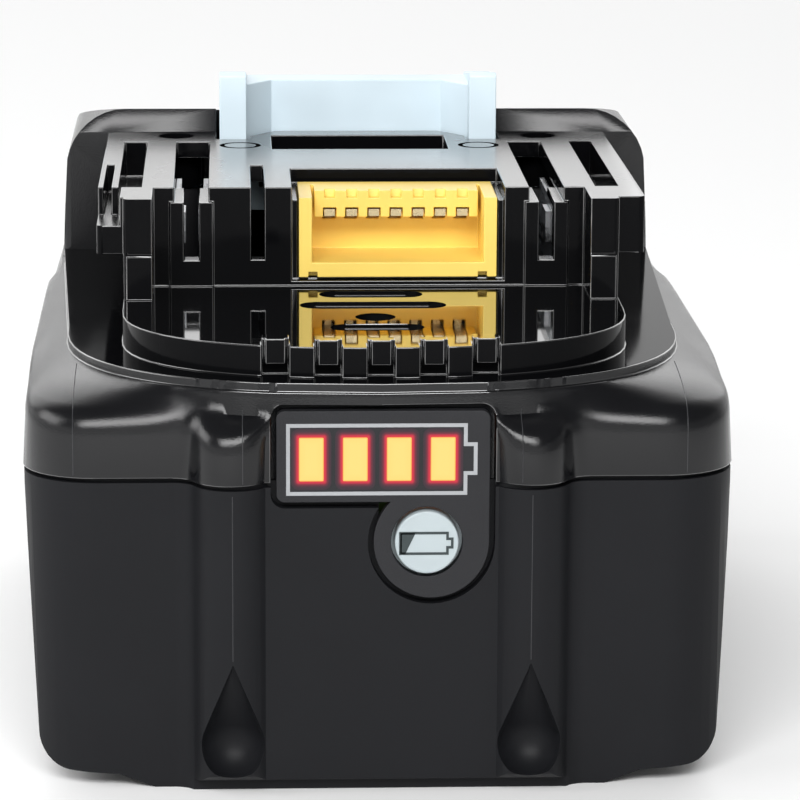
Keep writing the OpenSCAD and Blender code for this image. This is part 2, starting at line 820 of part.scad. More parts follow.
// one unbroken round-wire coil between two levels
wire_sides = 6;
turn_rings = 8;
coil_rings = spring_turns * turn_rings;
coil_low = spring_low + spring_wire / 2 + 0.02;
coil_high = spring_high - spring_wire / 2 - 0.02;
coil_pitch = (coil_high - coil_low) / spring_turns;
coil_round = spring_round - 0.02;
// least free gap between one turn and the next
coil_gap = coil_pitch - spring_wire;
echo(coil_gap = coil_gap);
coil_points = [for (i = [0:coil_rings]) for (j = [0:wire_sides - 1])
    let (a = 360 * i / turn_rings, b = 360 * j / wire_sides, r = coil_round + spring_wire / 2 * cos(b))
    [r * cos(a), r * sin(a), coil_low + (coil_high - coil_low) * i / coil_rings + spring_wire / 2 * sin(b)]];
coil_faces = concat(
    [[for (j = [0:wire_sides - 1]) j]],
    [for (i = [0:coil_rings - 1]) for (j = [0:wire_sides - 1])
        let (a = i * wire_sides + j, b = i * wire_sides + (j + 1) % wire_sides)
        [a, a + wire_sides, b]],
    [for (i = [0:coil_rings - 1]) for (j = [0:wire_sides - 1])
        let (a = i * wire_sides + j, b = i * wire_sides + (j + 1) % wire_sides)
        [b, a + wire_sides, b + wire_sides]],
    [[for (j = [wire_sides - 1:-1:0]) coil_rings * wire_sides + j]]);

module coil(s) {
    color("#b9bdc2")
    about_middle()
    translate([s * spring_x, spring_t, 0])
    polyhedron(coil_points, coil_faces, convexity = 10);
}

module latch_spring_left() {
    coil(-1);
}

module latch_spring_right() {
    coil(1);
}

// moves a shape to the place of contact number k
module at_contact(k) {
    translate([connector_shift + (k - (contact_count - 1) / 2) * contact_pitch, 0, 0])
    children();
}

module terminal_block() {
    bar_half = contact_pitch * contact_count / 2 + 0.5;
    side = 1.5;
    color("#f2b21c")
    about_middle()
    difference() {
        union() {
            difference() {
                block([connector_shift - connector_width / 2, connector_front, connector_low],
                    [connector_shift + connector_width / 2, connector_back, connector_top]);
                block([connector_shift - connector_width / 2 + side, connector_front - 1,
                    connector_low + 1.7],
                    [connector_shift + connector_width / 2 - side, connector_front + 9.6, connector_top + 1]);
            }
            block([connector_shift - bar_half, connector_front + 5.2, connector_top - 3.1],
                [connector_shift + bar_half, connector_front + 10, connector_top]);
        }
        for (k = [0:contact_count - 1])
            at_contact(k) {
                block([-0.75, connector_front + 4, connector_top - 4],
                    [0.75, connector_back + 1, connector_top - 2]);
                block([-0.6, connector_front + 4, connector_top - 0.9],
                    [0.6, connector_front + 6.4, connector_top + 1]);
            }
        for (s = [-1, 1])
            translate([connector_shift + s * (connector_width / 2 - 1.6), connector_front, connector_low])
            block([-0.5, -1, -1], [0.5, 1, 0.6]);
    }
}

module signal_contacts() {
    color("#d8c690")
    about_middle()
    for (k = [0:contact_count - 1])
        at_contact(k) {
            block([-0.6, connector_front + 5.4, connector_top - 3],
                [0.6, connector_back + 1, connector_top - 2.2]);
            block([-0.4, connector_back + 0.3, board_top], [0.4, connector_back + 1, connector_top - 2.6]);
        }
}

// one two-leaf blade socket on the board
module blade_socket(x, near, far, high) {
    difference() {
        block([x - 1.9, near, board_top], [x + 1.9, far, high]);
        block([x - 1.3, near - 1, board_top + 0.8], [x + 1.3, far + 1, high + 1]);
    }
    for (s = [-1, 1])
        block([x + s * 1.05 - 0.3, near + 4, high - 5], [x + s * 1.05 + 0.3, near + 9, high - 1.4]);
}

module positive_terminal() {
    color("#c9cbd0")
    about_middle()
    blade_socket(-slot_offset, block_front + 6, block_front + 26, deck - 3.1);
}

module negative_terminal() {
    color("#c9cbd0")
    about_middle()
    blade_socket(slot_offset, block_front + 6, block_front + 26, deck - 3.1);
}

module sense_terminal() {
    color("#c9cbd0")
    about_middle()
    difference() {
        block([sense_x - 1.5, block_front + 4, board_top], [sense_x + 1.5, block_front + 14, deck - 3.4]);
        block([sense_x - 0.9, block_front + 3, board_top + 0.8], [sense_x + 0.9, block_front + 15, deck]);
    }
}

// places of the board screws
board_screw_t = board_back - 3.4;

module main_board() {
    color("#1f5a38")
    about_middle()
    difference() {
        block([-22.8, board_front, board_low], [22.8, board_back, board_top]);
        for (s = [-1, 1])
            translate([s * 9, board_screw_t, board_low - 1])
            cylinder(r = 1.3, h = 4);
    }
}

module control_chip() {
    color("#1a1b1d")
    about_middle()
    block([-6, board_front + 13.4, board_top], [4, board_front + 20.4, board_top + 1.4]);
}

module power_transistors() {
    color("#232427")
    about_middle()
    for (k = [0:1])
        block([11.6, board_front + 13.4 + 6.4 * k, board_top],
            [17.6, board_front + 18.6 + 6.4 * k, board_top + 1.6]);
}

module filter_capacitors() {
    color("#a98c62")
    about_middle()
    for (k = [0:2])
        block([-12 + 3.4 * k, board_front + 22, board_top],
            [-10 + 3.4 * k, board_front + 23.4, board_top + 1]);
}

module safety_fuse() {
    color("#d9d4c4")
    about_middle()
    block([-15.4, board_front + 14, board_top], [-9, board_front + 17.4, board_top + 2]);
}

module board_screws() {
    color("#6a6c70")
    about_middle()
    for (s = [-1, 1])
        translate([s * 9, board_screw_t, board_top + 1.2])
        rotate([180, 0, 0])
        plain_screw(1.9, 1.05, 1.2, 2.2);
}

// cell number k counts along the lower row, then along the upper row
module cell(k) {
    column = k % 5;
    row = floor(k / 5);
    facing = column % 2 == 0 ? 1 : -1;
    color(facing > 0 ? "#3e7d9c" : "#41809f")
    about_middle()
    translate([0, cell_first + column * column_pitch, cell_low + row * row_pitch])
    rotate([0, 90 * facing, 0])
    rotate_extrude()
    polygon([[0, -cell_end], [cell_round - 0.6, -cell_end], [cell_round, 0.6 - cell_end],
        [cell_round, cell_end - 5], [cell_round - 0.7, cell_end - 4.2], [cell_round - 0.7, cell_end - 3.6],
        [cell_round, cell_end - 3], [cell_round, cell_end - 1.2], [cell_round - 1.4, cell_end - 0.6],
        [4.4, cell_end - 0.9], [4, cell_end], [0, cell_end]]);
}

module cell_1() {
    cell(0);
}

module cell_2() {
    cell(1);
}

module cell_3() {
    cell(2);
}

module cell_4() {
    cell(3);
}

module cell_5() {
    cell(4);
}

module cell_6() {
    cell(5);
}

module cell_7() {
    cell(6);
}

module cell_8() {
    cell(7);
}

module cell_9() {
    cell(8);
}

module cell_10() {
    cell(9);
}

// frame that holds one end of all the cells, with posts for the screws and the board
module cell_holder(s) {
    near = cell_end - 7.6;
    far = cell_end - 0.3;
    color("#2c2d30")
    about_middle()
    difference() {
        union() {
            block([s > 0 ? near : -far, cell_first - cell_round - 0.7, inner_low + 0.25],
                [s > 0 ? far : -near, stack_back + 0.6, cell_top + 0.35]);
            block([s > 0 ? 19.6 : -far, well_t - 4, cell_top + 0.1],
                [s > 0 ? far : -19.6, well_t + 4, cell_top + 1.2]);
            translate([s * well_x, well_t, cell_top + 0.1])
            cylinder(r = 2.8, h = well_low - 1.4 - seat_gap - cell_top - 0.1);
            block([s > 0 ? 6.6 : -near - 1, board_screw_t - 2.4, cell_top + 0.1],
                [s > 0 ? near + 1 : -6.6, board_screw_t + 2.4, floor_under - 0.2]);
            block([s > 0 ? 6.6 : -11.4, board_screw_t - 2.4, cell_top + 0.1],
                [s > 0 ? 11.4 : -6.6, board_screw_t + 2.4, board_low]);
        }
        for (column = [0:column_count - 1])
            for (row = [0:1])
                translate([0, cell_first + column * column_pitch, cell_low + row * row_pitch])
                rotate([0, 90, 0])
                cylinder(r = cell_round + seat_gap, h = 80, center = true);
        // front corner cut off under the shoulder of the upper shell
        across(-half, half)
        polygon([[cell_first - cell_round - 1, cell_top - 2],
            [cell_first - cell_round + 2.4, cell_top + 0.6],
            [cell_first - cell_round - 1, cell_top + 0.6]]);
        for (t = screw_t)
            translate([s * screw_x, t, 0])
            cylinder(r = 1.1, h = 10);
        translate([s * well_x, well_t, well_low - 9])
        cylinder(r = 1.1, h = 12);
        translate([s * 9, board_screw_t, board_low - 1.6])
        cylinder(r = 1.1, h = 6);
    }
}

module cell_holder_left() {
    cell_holder(-1);
}

module cell_holder_right() {
    cell_holder(1);
}

// strip that joins cell columns a to b on side s; its tail leaves at column tail,
// runs in to x and along to distance end, and rises to the board there
module strap(s, a, b, tail, x, end) {
    near = cell_first + a * column_pitch - 0.65 * cell_round;
    far = cell_first + b * column_pitch + 0.65 * cell_round;
    tail_t = cell_first + tail * column_pitch;
    low = cell_low - 0.6 * cell_round;
    high = cell_low + row_pitch + 0.6 * cell_round;
    run = cell_top + 0.8;
    color("#c4c7cb")
    about_middle()
    union() {
        across(s > 0 ? cell_end : -strap_out, s > 0 ? strap_out : -cell_end)
        difference() {
            union() {
                translate([near, low])
                square([far - near, high - low]);
                translate([tail_t - 2.5, high - 1])
                square([5, run + strap_thick - high + 1]);
            }
            for (column = [a:b])
                translate([cell_first + column * column_pitch - 0.4, cell_low + row_pitch / 2 - 5])
                square([0.8, 10]);
        }
        block([s > 0 ? x : -strap_out, tail_t - 2.5, run],
            [s > 0 ? strap_out : -x, tail_t + 2.5, run + strap_thick]);
        block([s > 0 ? x : -x - 3, min(tail_t - 2.5, end), run],
            [s > 0 ? x + 3 : -x, max(tail_t + 2.5, end + strap_thick), run + strap_thick]);
        block([s > 0 ? x : -x - 3, end, run], [s > 0 ? x + 3 : -x, end + strap_thick, board_low]);
    }
}

front_end = board_front + 3;
rear_end = board_back - 0.8;

module strap_1() {
    strap(-1, 0, 0, 0, 19, front_end);
}

module strap_2() {
    strap(1, 0, 1, 1, 19, front_end);
}

module strap_3() {
    strap(-1, 1, 2, 2, 19, cell_first + 2 * column_pitch);
}

module strap_4() {
    strap(1, 2, 3, 2, 19, cell_first + 2 * column_pitch);
}

module strap_5() {
    strap(-1, 3, 4, 4, 16, rear_end);
}

module strap_6() {
    strap(1, 4, 4, 4, 16, rear_end);
}

// thin sheet between the straps and the lower shell
module insulator(s) {
    color("#d9d2b8")
    about_middle()
    across(s > 0 ? strap_out + 0.1 : -strap_out - 0.35, s > 0 ? strap_out + 0.35 : -strap_out - 0.1)
    translate([cell_first - cell_round, cell_low - 0.7 * cell_round])
    square([stack_back - cell_first + cell_round, row_pitch + 1.4 * cell_round]);
}

module insulator_left() {
    insulator(-1);
}

module insulator_right() {
    insulator(1);
}

module base_pad() {
    color("#3a3b3e")
    about_middle()
    block([12 - cell_end, cell_first, inner_low], [cell_end - 12, stack_back - cell_round, inner_low + 0.3]);
}

lower_case();
upper_case();
case_screws();
deck_screws();
gauge_panel();
gauge_windows();
check_button();
switch_plunger();
check_switch();
gauge_board();
gauge_lights();
gauge_cable();
latch_hook();
release_button();
latch_spring_left();
latch_spring_right();
terminal_block();
signal_contacts();
positive_terminal();
negative_terminal();
sense_terminal();
main_board();
control_chip();
power_transistors();
filter_capacitors();
safety_fuse();
board_screws();
cell_1();
cell_2();
cell_3();
cell_4();
cell_5();
cell_6();
cell_7();
cell_8();
cell_9();
cell_10();
cell_holder_left();
cell_holder_right();
strap_1();
strap_2();
strap_3();
strap_4();
strap_5();
strap_6();
insulator_left();
insulator_right();
base_pad();
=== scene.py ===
import json
import math

import bmesh
import bpy
from mathutils import Matrix, Vector, kdtree
from mathutils.bvhtree import BVHTree


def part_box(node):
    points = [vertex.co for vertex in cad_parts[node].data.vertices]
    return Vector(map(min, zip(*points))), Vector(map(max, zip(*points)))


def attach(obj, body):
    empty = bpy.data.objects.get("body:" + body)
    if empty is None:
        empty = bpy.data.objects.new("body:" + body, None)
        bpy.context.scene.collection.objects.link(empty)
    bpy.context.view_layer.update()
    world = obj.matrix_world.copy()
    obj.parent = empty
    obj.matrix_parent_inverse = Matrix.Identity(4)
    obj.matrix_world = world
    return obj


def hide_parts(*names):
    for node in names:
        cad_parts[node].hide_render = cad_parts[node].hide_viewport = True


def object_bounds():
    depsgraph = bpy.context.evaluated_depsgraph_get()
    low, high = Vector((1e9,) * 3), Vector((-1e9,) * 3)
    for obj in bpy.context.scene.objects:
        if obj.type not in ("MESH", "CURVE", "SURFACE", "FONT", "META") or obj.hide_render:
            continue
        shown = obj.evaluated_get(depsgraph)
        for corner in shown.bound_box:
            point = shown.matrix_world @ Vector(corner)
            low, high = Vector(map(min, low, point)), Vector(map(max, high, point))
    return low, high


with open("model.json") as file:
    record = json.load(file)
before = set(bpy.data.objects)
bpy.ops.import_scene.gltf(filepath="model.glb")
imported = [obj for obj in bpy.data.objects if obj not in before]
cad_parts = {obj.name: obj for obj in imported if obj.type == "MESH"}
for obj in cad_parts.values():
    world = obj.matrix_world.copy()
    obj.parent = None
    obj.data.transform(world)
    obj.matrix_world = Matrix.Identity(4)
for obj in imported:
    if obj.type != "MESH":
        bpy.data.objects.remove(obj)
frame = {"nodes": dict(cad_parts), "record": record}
rest_low, rest_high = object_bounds()
nodes = frame["nodes"]
slot_of = {s["node"]: s["material_slot"] for s in frame["record"]["subparts"]}
body_of = {n: b for b, ns in frame["record"]["behaviour"]["bodies"].items() for n in ns}

# lengths are in metres, apart from those whose name or comment says millimetres
MM = 0.001
length_mm = 115.0


def place(x, t, z):
    """A point from millimetres across, behind the front plane and up from the table."""
    return Vector((x * MM, (t - length_mm / 2) * MM, z * MM))


# materials

grain_depth = 0.04 * MM
tone_range = (0.93, 1.07)
noise_range = (0.35, 0.65)
COAT_INPUTS = {"coat": "Coat Weight", "coat_ior": "Coat IOR", "coat_roughness": "Coat Roughness"}


def new_material(name):
    """A material with its node tree and its shader."""
    mat = bpy.data.materials.new(name)
    mat.use_nodes = True
    return mat, mat.node_tree, mat.node_tree.nodes["Principled BSDF"]


def add_grain(tree, shader, scale, strength):
    """Fine surface grain from noise in object coordinates."""
    coords = tree.nodes.new("ShaderNodeTexCoord")
    noise = tree.nodes.new("ShaderNodeTexNoise")
    noise.inputs["Scale"].default_value = scale
    noise.inputs["Detail"].default_value = 3.0
    bump = tree.nodes.new("ShaderNodeBump")
    bump.inputs["Strength"].default_value = strength
    bump.inputs["Distance"].default_value = grain_depth
    tree.links.new(coords.outputs["Object"], noise.inputs["Vector"])
    tree.links.new(noise.outputs["Fac"], bump.inputs["Height"])
    tree.links.new(bump.outputs["Normal"], shader.inputs["Normal"])


def set_ramp(ramp, stops):
    """Colour stops of a ramp as (position, colour)."""
    elements = ramp.color_ramp.elements
    while len(elements) < len(stops):
        elements.new(0.5)
    for element, (position, color) in zip(elements, stops):
        element.position = position
        element.color = (*color, 1)


def add_drift(tree, shader, color, roughness, drift, scale=70.0, stretch=(1, 1, 1)):
    """Tone and roughness that wander a little over the surface."""
    coords = tree.nodes.new("ShaderNodeTexCoord")
    mapping = tree.nodes.new("ShaderNodeMapping")
    mapping.inputs["Scale"].default_value = stretch
    noise = tree.nodes.new("ShaderNodeTexNoise")
    noise.inputs["Scale"].default_value = scale
    tone = tree.nodes.new("ShaderNodeValToRGB")
    set_ramp(tone, [(at, [c * share for c in color]) for at, share in zip(noise_range, tone_range)])
    rough = tree.nodes.new("ShaderNodeMapRange")
    rough.inputs["From Min"].default_value = noise_range[0]
    rough.inputs["From Max"].default_value = noise_range[1]
    rough.inputs["To Min"].default_value = roughness - drift
    rough.inputs["To Max"].default_value = roughness + drift
    tree.links.new(coords.outputs["Object"], mapping.inputs["Vector"])
    tree.links.new(mapping.outputs["Vector"], noise.inputs["Vector"])
    tree.links.new(noise.outputs["Fac"], tone.inputs["Fac"])
    tree.links.new(noise.outputs["Fac"], rough.inputs["Value"])
    tree.links.new(tone.outputs["Color"], shader.inputs["Base Color"])
    tree.links.new(rough.outputs["Result"], shader.inputs["Roughness"])


def plastic(name, color, roughness, grain=(2400.0, 0.1), specular=0.5, drift=0.03, **coat):
    """Moulded plastic with grain of a scale and strength, and a clear coat where its settings are given."""
    mat, tree, shader = new_material(name)
    shader.inputs["Specular IOR Level"].default_value = specular
    for setting, value in coat.items():
        shader.inputs[COAT_INPUTS[setting]].default_value = value
    add_drift(tree, shader, color, roughness, drift)
    add_grain(tree, shader, *grain)
    return mat


def metal(name, color, roughness):
    """Rolled sheet metal with fine lines along its length."""
    mat, tree, shader = new_material(name)
    shader.inputs["Metallic"].default_value = 1.0
    add_drift(tree, shader, color, roughness, drift=0.08, scale=900.0, stretch=(1, 0.1, 1))
    add_grain(tree, shader, scale=900.0, strength=0.08)
    return mat


MATTE = plastic("matte black", (0.0085, 0.0089, 0.0105), 0.5, (2600.0, 0.25), specular=0.16)
SATIN = plastic("satin black", (0.0055, 0.0057, 0.0066), 0.19, (5200.0, 0.45), specular=0.4)
GLOSS = plastic("gloss black", (0.0030, 0.0031, 0.0036), 0.08, (500.0, 0.03), specular=0.05, drift=0.02)
POLISH = plastic("polished black", (0.0030, 0.0031, 0.0036), 0.04, (500.0, 0.02), drift=0.015, coat=1.0)
# painted sheen: rounded edges get a slightly lighter black than gloss and polish, with a strong, glassy
# clear coat, so that they show as bright lines
EDGE = plastic("edge sheen black", (0.0040, 0.0041, 0.0048), 0.12, (500.0, 0.02), drift=0.02,
               coat=1.0, coat_ior=1.9, coat_roughness=0.12)
DECK = plastic("deck black", (0.0040, 0.0041, 0.0048), 0.25, (1500.0, 0.05), coat=1.0, coat_roughness=0.25)
# the mould lines' ridges are real; their grey, lighter than the shells, is painted highlight for the light
# the ridges catch
LINE = plastic("mould line highlight grey", (0.03, 0.031, 0.034), 0.35)
WHITE = plastic("white", (0.66, 0.78, 0.85), 0.4)
BUTTON = plastic("button white", (0.42, 0.48, 0.5), 0.4)
YELLOW = plastic("yellow", (0.95, 0.69, 0.15), 0.35)
PANEL = plastic("gauge grey", (0.015, 0.0153, 0.0178), 0.5, (4200.0, 0.8), specular=0.3)
PRINT = plastic("light print", (0.33, 0.34, 0.355), 0.5)
DARK_PRINT = plastic("dark print", (0.024, 0.036, 0.038), 0.5)
SWITCH = plastic("switch black", (0.02, 0.02, 0.022), 0.5)
BOARD = plastic("board green", (0.02, 0.11, 0.05), 0.4)
PALE = plastic("pale body", (0.8, 0.77, 0.7), 0.5)
FILM = plastic("cable film", (0.55, 0.5, 0.4), 0.35)
TAN = plastic("capacitor tan", (0.4, 0.28, 0.14), 0.5)
FRAME = plastic("frame black", (0.03, 0.03, 0.033), 0.5)
PAPER = plastic("insulating paper", (0.7, 0.64, 0.48), 0.8)
FOAM = plastic("foam grey", (0.05, 0.05, 0.055), 0.9, (1500.0, 0.8))
WRAP = plastic("cell wrap", (0.05, 0.2, 0.33), 0.25)
STEEL = metal("bright steel", (0.6, 0.61, 0.63), 0.3)
DARK_STEEL = metal("dark steel", (0.25, 0.25, 0.26), 0.4)
GILT = metal("gilt", (0.8, 0.66, 0.4), 0.3)
NICKEL = metal("nickel", (0.55, 0.56, 0.57), 0.35)


# light of the gauge windows, and painted light spill on the panel around them

window_count = 4
window_width = 2.62 * MM
windows_low, windows_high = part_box("gauge_windows")
windows_mid = (windows_low + windows_high) / 2
window_height = windows_high.z - windows_low.z
window_pitch = (windows_high.x - windows_low.x - window_width) / (window_count - 1)


def edge_distance(tree, outside):
    """Distance in millimetres from the edge of a window about the object's origin, outside or inside it."""
    coords = tree.nodes.new("ShaderNodeTexCoord")
    sides = tree.nodes.new("ShaderNodeVectorMath")
    sides.operation = "ABSOLUTE"
    tree.links.new(coords.outputs["Object"], sides.inputs[0])
    beyond = tree.nodes.new("ShaderNodeVectorMath")
    beyond.operation = "SUBTRACT"
    tree.links.new(sides.outputs["Vector"], beyond.inputs[0])
    beyond.inputs[1].default_value = (window_width / 2, 1, window_height / 2)
    if outside:
        positive = tree.nodes.new("ShaderNodeVectorMath")
        positive.operation = "MAXIMUM"
        tree.links.new(beyond.outputs["Vector"], positive.inputs[0])
        length = tree.nodes.new("ShaderNodeVectorMath")
        length.operation = "LENGTH"
        tree.links.new(positive.outputs["Vector"], length.inputs[0])
        found = length.outputs["Value"]
    else:
        axes = tree.nodes.new("ShaderNodeSeparateXYZ")
        tree.links.new(beyond.outputs["Vector"], axes.inputs["Vector"])
        nearest = tree.nodes.new("ShaderNodeMath")
        nearest.operation = "MAXIMUM"
        tree.links.new(axes.outputs["X"], nearest.inputs[0])
        tree.links.new(axes.outputs["Z"], nearest.inputs[1])
        found = nearest.outputs["Value"]
    scaled = tree.nodes.new("ShaderNodeMath")
    scaled.operation = "MULTIPLY"
    scaled.inputs[1].default_value = 1 / MM if outside else -1 / MM
    tree.links.new(found, scaled.inputs[0])
    return scaled.outputs["Value"]


def glowing(name, base, outside, stops):
    """Surface that glows by its distance in millimetres from the edge of a window."""
    mat, tree, shader = new_material(name)
    shader.inputs["Base Color"].default_value = (*base, 1)
    shader.inputs["Roughness"].default_value = 0.5
    shader.inputs["Specular IOR Level"].default_value = 0.2
    ramp = tree.nodes.new("ShaderNodeValToRGB")
    set_ramp(ramp, stops)
    tree.links.new(edge_distance(tree, outside), ramp.inputs["Fac"])
    tree.links.new(ramp.outputs["Color"], shader.inputs["Emission Color"])
    shader.inputs["Emission Strength"].default_value = 1.0
    return mat


LIT = glowing("lit window", (0.02, 0.01, 0.01), False,
              [(0.0, (0.93, 0.25, 0.06)), (0.06, (0.96, 0.55, 0.12)), (0.16, (0.98, 0.73, 0.2)),
               (0.8, (0.98, 0.76, 0.22))])
# painted light: a red emissive ring on the panel face around each window stands in for LED light spilling
# onto the panel, which is no lamp
PAINTED_SPILL = glowing("painted window light spill", (0.02, 0.02, 0.023), True,
               [(0.0, (0.8, 0.02, 0.04)), (0.2, (0.55, 0.006, 0.03)), (0.36, (0.16, 0.005, 0.02)),
                (0.6, (0.04, 0.006, 0.014)), (1.0, (0.014, 0.006, 0.01))])

SLOTS = {
    "matte_black": MATTE, "gloss_black": GLOSS, "dark_steel": DARK_STEEL, "gauge_grey": PANEL,
    "amber_light": LIT, "white_plastic": WHITE, "switch_black": SWITCH, "plain_steel": STEEL,
    "board_green": BOARD, "light_body": PALE, "cable_film": FILM, "spring_steel": STEEL,
    "yellow_plastic": YELLOW, "contact_gilt": GILT, "capacitor_tan": TAN, "frame_black": FRAME,
    "insulating_paper": PAPER, "foam_grey": FOAM, "cell_wrap": WRAP, "nickel_strip": NICKEL,
}
for n, o in nodes.items():
    o.data.materials.clear()
    o.data.materials.append(SLOTS[slot_of[n]])


# copies of the shells and other large pieces with rounded edges

upper_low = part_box("upper_case")[0].z
floor_z = upper_low + 10.5 * MM
ledge_z = floor_z - 0.95 * MM
hump_y = place(0, 83.6, 0).y

join_distance = 0.002 * MM
shortest_edge = 0.001 * MM
flat_angle = math.radians(0.6)
crease_angle = math.radians(45)
strip_width = 0.9 * MM
least_fault = 0.001 * MM * MM
fault_reach = 0.3 * MM
mild_tries = 3
most_tries = 6

# least upward parts of the normals of a face that is flat, level, sloping or on the skin at all
flat_up = 0.99
level_up = 0.985
slope_up = 0.3
skin_up = -0.2
skin_radius = 20 * MM
level_slack = 0.02 * MM
hump_slack = 0.05 * MM
plate_rise = 1 * MM
deck_rise = 5 * MM


def narrow(f, least):
    """True for a face with four or more corners that is a strip under a least width."""
    return len(f.verts) > 3 and 2 * f.calc_area() / f.calc_perimeter() < least


def turned_over(work):
    """Corners of the triangles that face against their own face, where rounded edges have crossed."""
    corners = []
    for loops in work.calc_loop_triangles():
        points = [loop.vert.co for loop in loops]
        cross = (points[1] - points[0]).cross(points[2] - points[0])
        if cross.length > 2 * least_fault and cross.dot(loops[0].face.normal) < 0:
            corners += [p.copy() for p in points]
    return corners


def close_to(points):
    """A test for a vertex that lies by one of the points."""
    tree = kdtree.KDTree(len(points))
    for i, p in enumerate(points):
        tree.insert(p, i)
    tree.balance()
    return lambda v: bool(points) and tree.find(v.co)[2] < fault_reach


def merged(mesh, keep):
    """The mesh with doubled points joined and flat faces merged, apart from a curved skin and its ledge."""
    work = bmesh.new()
    work.from_mesh(mesh)
    bmesh.ops.remove_doubles(work, verts=work.verts, dist=join_distance)
    skin, ledge = set(), set()
    if keep:
        skin = {v for f in work.faces if keep(f) for v in f.verts}
        ledge = {v for v in work.verts if abs(v.co.z - ledge_z) < join_distance}
    bmesh.ops.dissolve_limit(
        work, angle_limit=flat_angle, verts=[v for v in work.verts if v not in skin],
        edges=[e for e in work.edges if not all(v in skin or v in ledge for v in e.verts)])
    bmesh.ops.dissolve_degenerate(work, dist=shortest_edge, edges=work.edges)
    work.normal_update()
    return work


def rounded_edges(work, width, limit, keep, clamp, spared):
    """Rounds the edges that turn by more than a limit in degrees, and gives the new faces.

    Edges within the skin and edges for which spared is true stay sharp, and so, without clamp, do edges
    beside a face too narrow for them."""
    sharp = [e for e in work.edges
             if len(e.link_faces) == 2 and e.calc_face_angle(0) > math.radians(limit)
             and not (keep and all(keep(f) for f in e.link_faces))
             and (clamp or not any(narrow(f, 3 * width) for f in e.link_faces))
             and not spared(e)]
    made = bmesh.ops.bevel(work, geom=sharp, offset=width, offset_type="OFFSET", segments=2, profile=0.5,
                           affect="EDGES", clamp_overlap=clamp)
    work.normal_update()
    return set(made["faces"])


def refined(node, name, width, limit=35.0, keep=None, paint=None, more=(), clamp=True):
    """A copy of a CAD node with merged flat faces and small rounded edges, which stands for the node.

    Faces for which keep is true are the parts of a curved skin and get plain smooth shading. paint gives the
    number of a face's material, of the node's own and more, and knows whether the face is part of a rounded
    edge. Without clamp every edge gets its full width, and edges that would cross are left sharp."""
    mesh = nodes[node].data.copy()
    mesh.name = name
    mesh.materials.clear()
    for mat in (SLOTS[slot_of[node]], *more):
        mesh.materials.append(mat)
    faults = []
    for attempt in range(most_tries):
        work = merged(mesh, keep)
        if not clamp:
            strips = [f for f in work.faces if len(f.verts) > 4 and narrow(f, strip_width)]
            bmesh.ops.triangulate(work, faces=strips)
        crossed = close_to(faults)
        both_or_one = all if attempt < mild_tries else any
        edges = rounded_edges(work, width * MM, limit, keep, clamp,
                              lambda e: both_or_one(crossed(v) for v in e.verts))
        found = [] if clamp else turned_over(work)
        if not found:
            break
        faults += found
    for f in work.faces:
        f.smooth = True
        f.material_index = paint(f, f in edges) if paint else 0
    for e in work.edges:
        e.smooth = not (len(e.link_faces) == 2 and e.calc_face_angle(0) > crease_angle)
    work.verts.index_update()
    flat = [v.index for v in work.verts
            if not keep or any(f.normal.z > flat_up for f in v.link_faces)
            or not any(keep(f) for f in v.link_faces)]
    work.to_mesh(mesh)
    work.free()
    obj = bpy.data.objects.new(name, mesh)
    bpy.context.collection.objects.link(obj)
    obj.vertex_groups.new(name="flat faces").add(flat, 1.0, "REPLACE")
    normals = obj.modifiers.new("face weighted normals", "WEIGHTED_NORMAL")
    normals.keep_sharp = True
    normals.vertex_group = "flat faces"
    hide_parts(node)
    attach(obj, body_of[node])
    return obj


def on_skin(f):
    """True for a face of the curved skirt and shoulder of the upper shell."""
    c = f.calc_center_median()
    outward = Vector((c.x, c.y)).dot(Vector((f.normal.x, f.normal.y))) > 0
    return (c.z < ledge_z - level_slack and f.normal.z > skin_up and abs(c.x) + abs(c.y) > skin_radius
            and f.normal.length > 0 and (outward or f.normal.z > slope_up))


def upper_paint(f, edge):
    """Number of a face's material: 0 for the node's own gloss, and then those of upper_materials.

    Skirt, shoulder and hump are satin, rounded edges shine, the plate is polished and the deck is duller."""
    c = f.calc_center_median()
    if c.y > hump_y - hump_slack:
        mat = SATIN
    # rounded edges take the edge sheen material, a painted sheen
    elif edge:
        mat = EDGE
    elif c.z < floor_z - level_slack:
        mat = SATIN
    elif f.normal.z > level_up and c.z > floor_z + plate_rise:
        mat = POLISH if c.z < floor_z + deck_rise else DECK
    else:
        return 0
    return 1 + upper_materials.index(mat)


upper_materials = (SATIN, POLISH, EDGE, DECK)
upper = refined("upper_case", "upper_shell", 0.12, limit=25.0, keep=on_skin, paint=upper_paint,
                more=upper_materials, clamp=False)
lower = refined("lower_case", "lower_shell", 0.3)
hook = refined("latch_hook", "latch", 0.35)
refined("release_button", "release_key", 0.3)
refined("terminal_block", "connector", 0.12)
refined("gauge_panel", "gauge_face", 0.12)
key = refined("check_button", "check_key", 0.2)
key.data.materials[0] = BUTTON

# the tops of the latch's two ears fall a little to the rear
latch_low, latch_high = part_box("latch_hook")
ear_width = 3.4 * MM
ear_top = 0.9 * MM
ear_fall = 0.135
for v in hook.data.vertices:
    if abs(v.co.x) > latch_high.x - ear_width and v.co.z > latch_high.z - ear_top:
        v.co.z -= ear_fall * (v.co.y - latch_low.y)


# gauge print, lit windows and the painted light spill around them

def piece(name, points, faces, mat, body, at=(0, 0, 0)):
    """New closed piece from points about a place."""
    mesh = bpy.data.meshes.new(name)
    mesh.from_pydata(points, [], faces)
    work = bmesh.new()
    work.from_mesh(mesh)
    bmesh.ops.recalc_face_normals(work, faces=work.faces)
    work.to_mesh(mesh)
    work.free()
    mesh.materials.append(mat)
    obj = bpy.data.objects.new(name, mesh)
    bpy.context.collection.objects.link(obj)
    obj.location = at
    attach(obj, body)
    return obj


